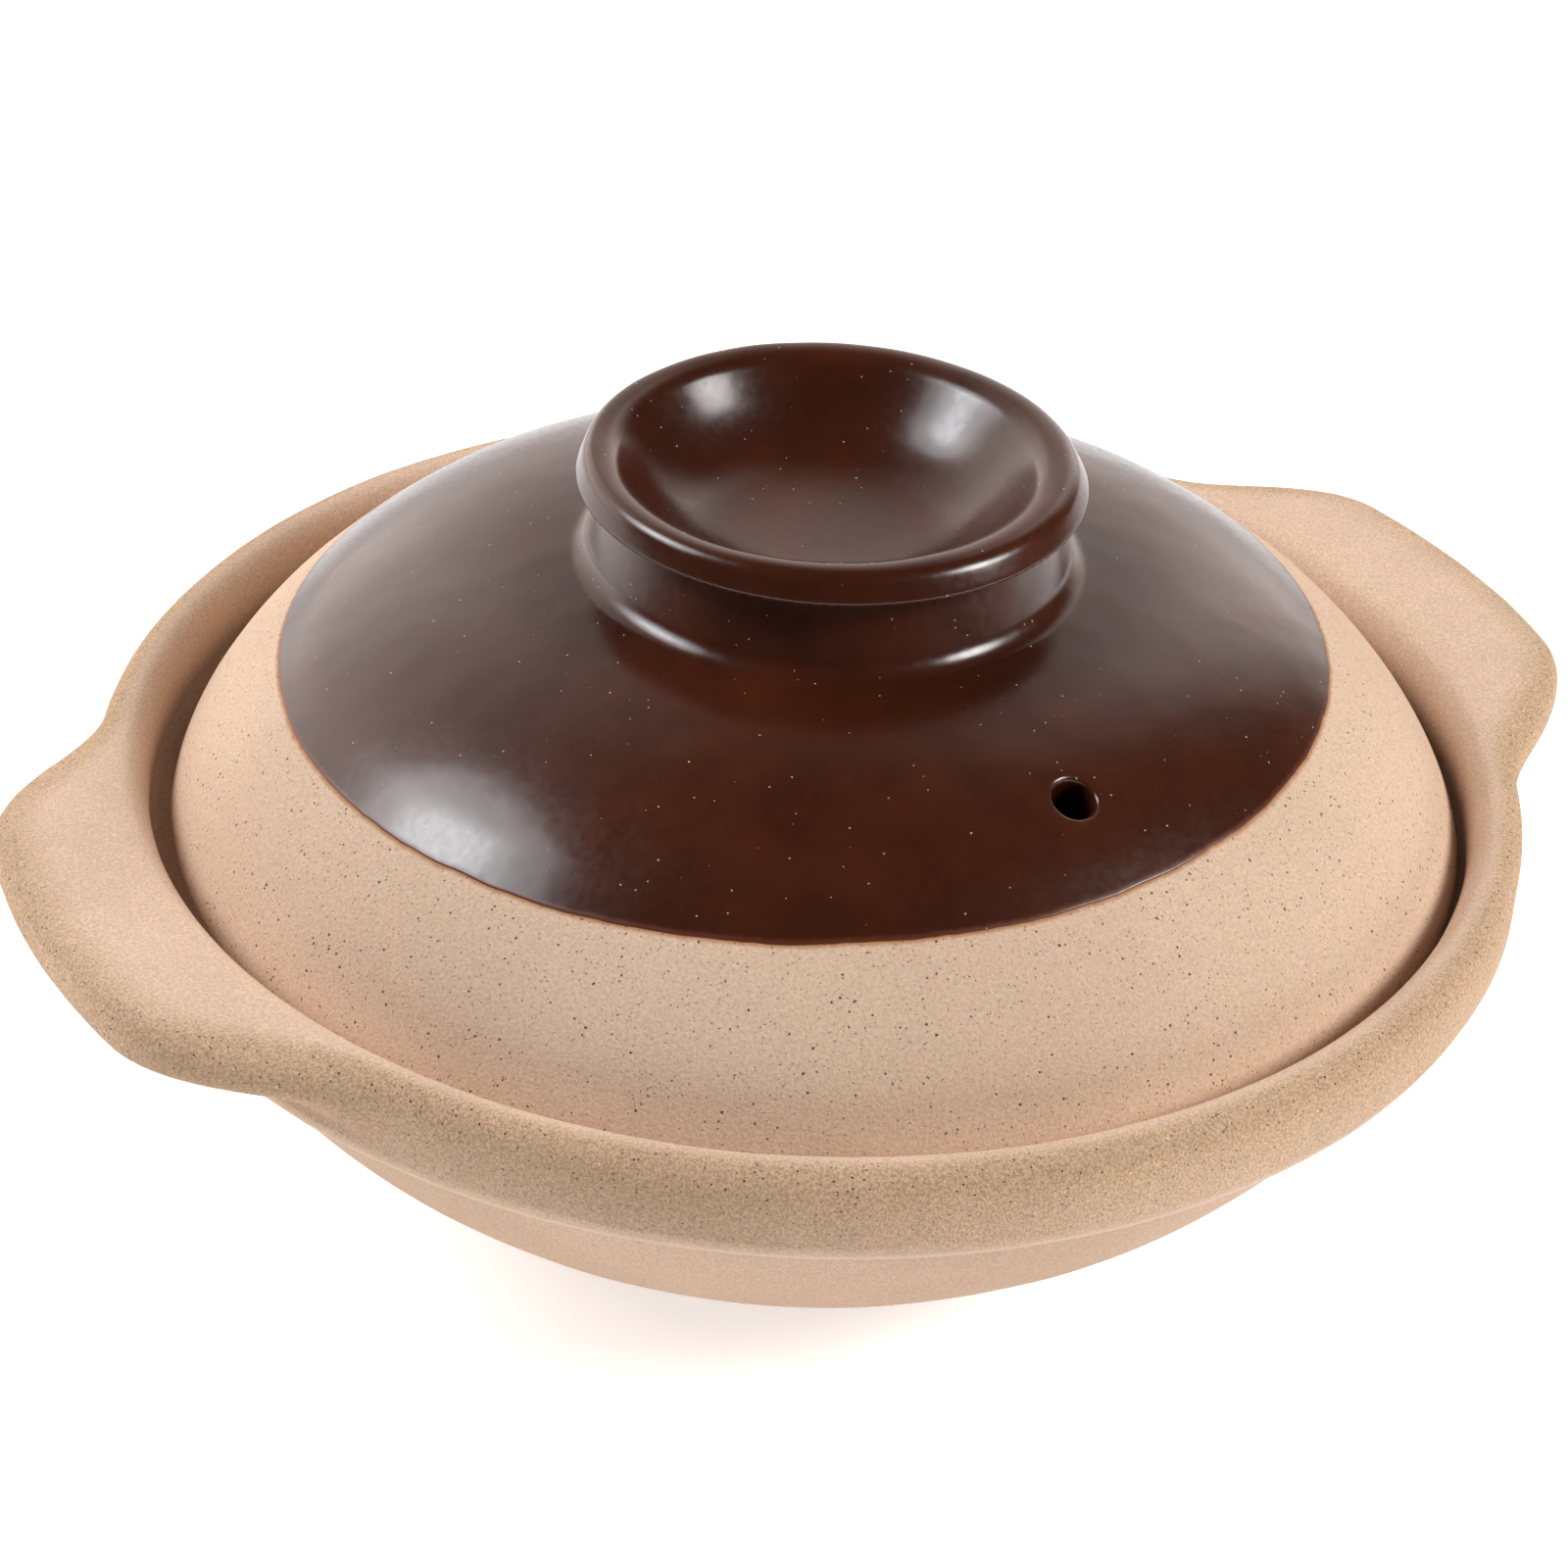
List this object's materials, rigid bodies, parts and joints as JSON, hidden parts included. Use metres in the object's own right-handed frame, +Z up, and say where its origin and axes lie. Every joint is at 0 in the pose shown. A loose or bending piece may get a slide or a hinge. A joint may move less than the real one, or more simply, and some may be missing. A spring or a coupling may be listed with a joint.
{
  "type": "ceramic casserole",
  "caption": "Small stoneware casserole: a collared pot with ear handles and a lift-off domed lid with a cup-shaped knob, a steam vent and a brown glaze dip.",
  "frame": {"origin": "middle of the pot's flat base, on the surface that it stands on", "axes": "+X along the two ear handles, +Z up along the pot's axis"},
  "size_m": [0.2066, 0.18, 0.0927],
  "materials": {
    "bare_clay": "unglazed, sandy and coarse",
    "lid_clay": "unglazed, fine with dark specks",
    "brown_glaze": "glossy dark brown glaze"
  },
  "bodies": {
    "pot": {"pot_bowl": "bare_clay", "ear_handle_left": "bare_clay", "ear_handle_right": "bare_clay", "bowl_glaze": "brown_glaze"},
    "lid": {"lid_dome": "lid_clay", "lid_knob": "lid_clay", "lid_glaze": "brown_glaze"}
  },
  "joints": [
    {"name": "lid_lift", "type": "slide", "parent": "pot", "child": "lid", "axis": [0, 0, 1], "range_m": [0, 0.07]}
  ]
}
